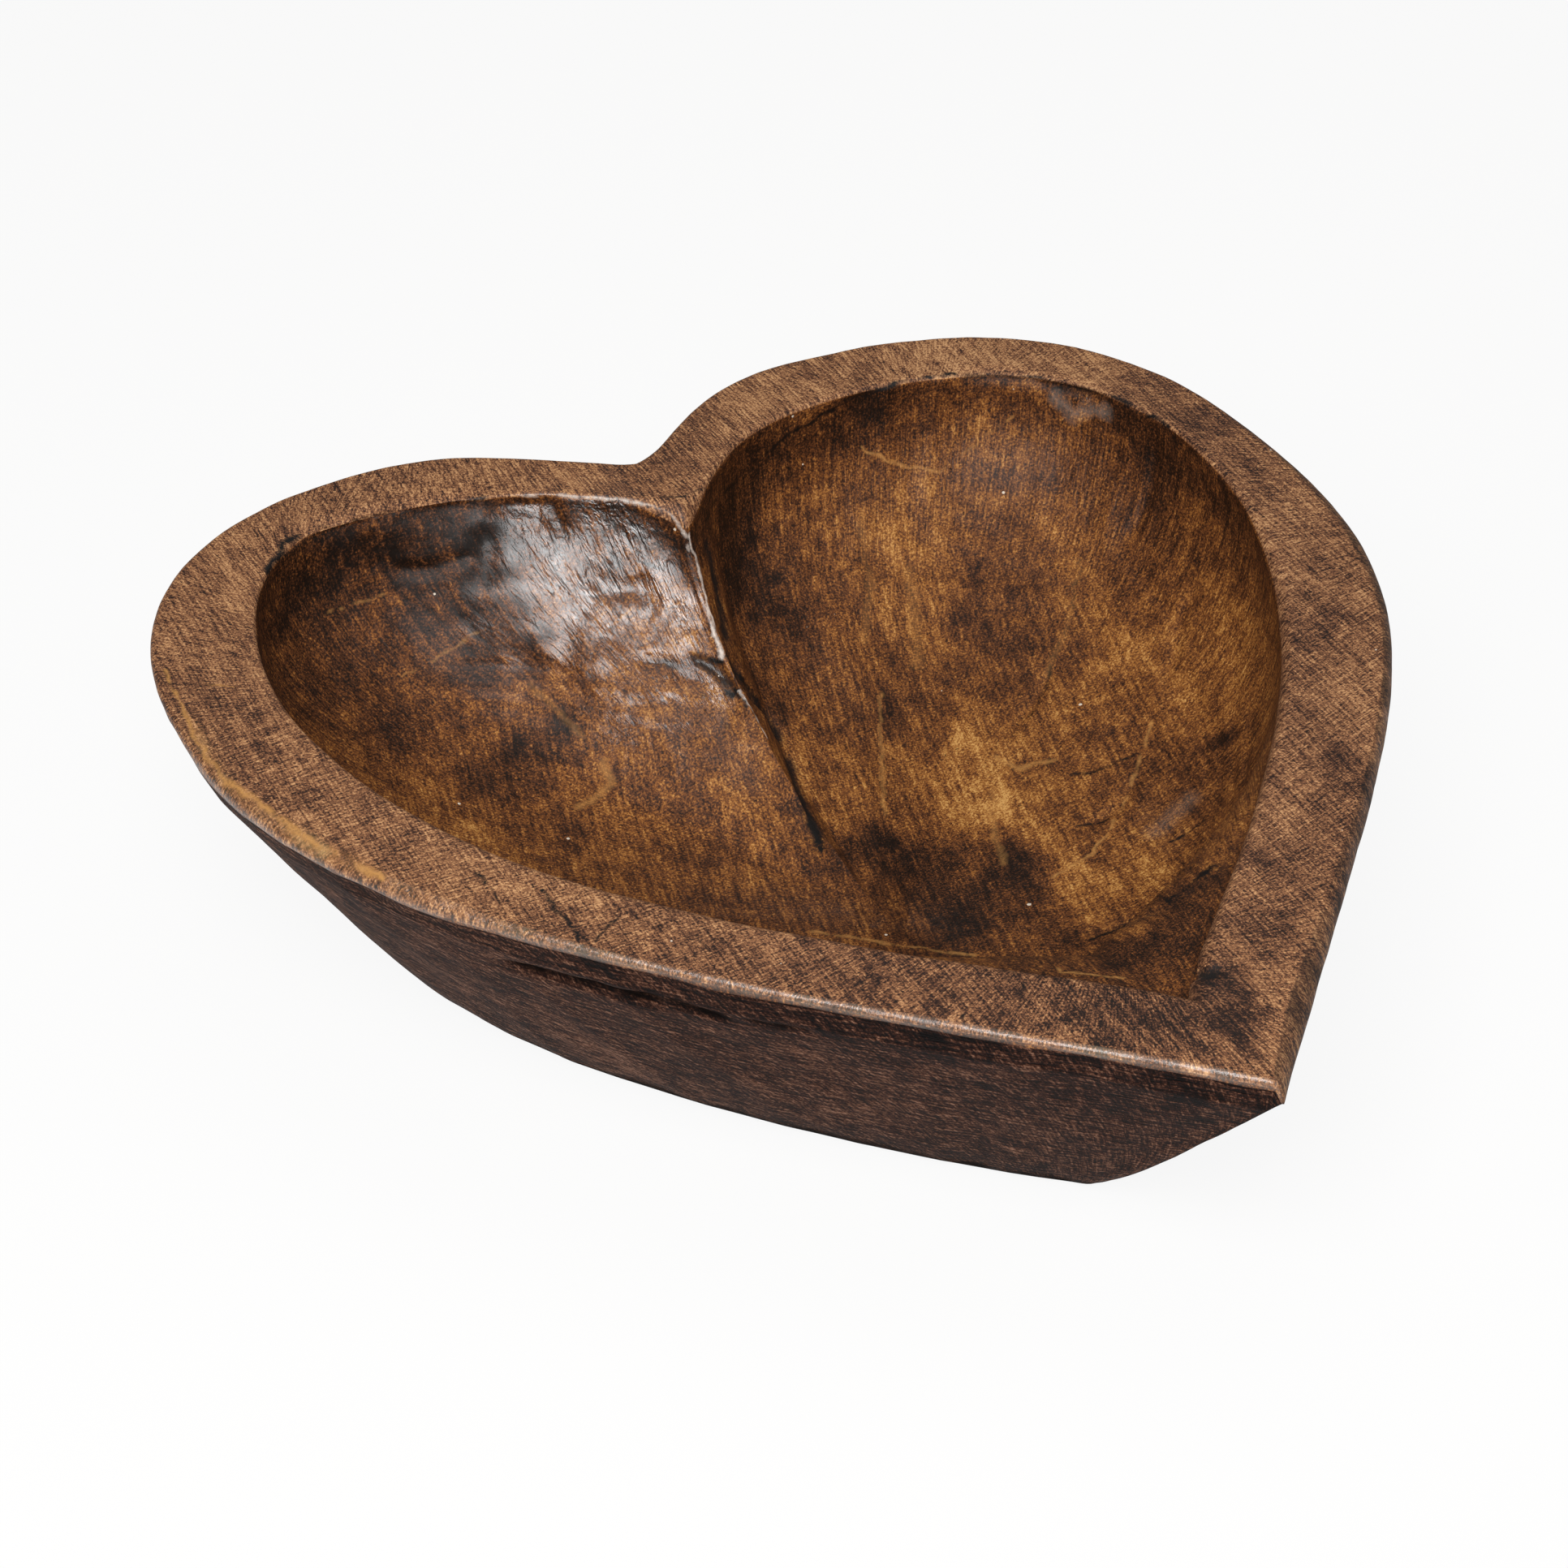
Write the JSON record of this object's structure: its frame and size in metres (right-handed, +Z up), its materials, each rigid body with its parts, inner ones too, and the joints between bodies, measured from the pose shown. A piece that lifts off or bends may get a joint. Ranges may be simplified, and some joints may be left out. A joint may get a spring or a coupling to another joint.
{
  "type": "dough bowl",
  "caption": "Heart-shaped dough bowl carved from one block of stained wood, with a broad flat rim, a deep hollow with a ridge below the cleft, sloping walls and a flat foot.",
  "frame": {"origin": "middle of the bowl's outline, on the surface that the foot stands on", "axes": "+Z up, +Y from the point of the heart towards the cleft, +X across the lobes"},
  "size_m": [0.254, 0.272, 0.066],
  "materials": {
    "stained_wood": "hand-carved softwood, stained dark brown and waxed to a satin sheen"
  },
  "bodies": {
    "root": {"bowl": "stained_wood"}
  },
  "joints": []
}
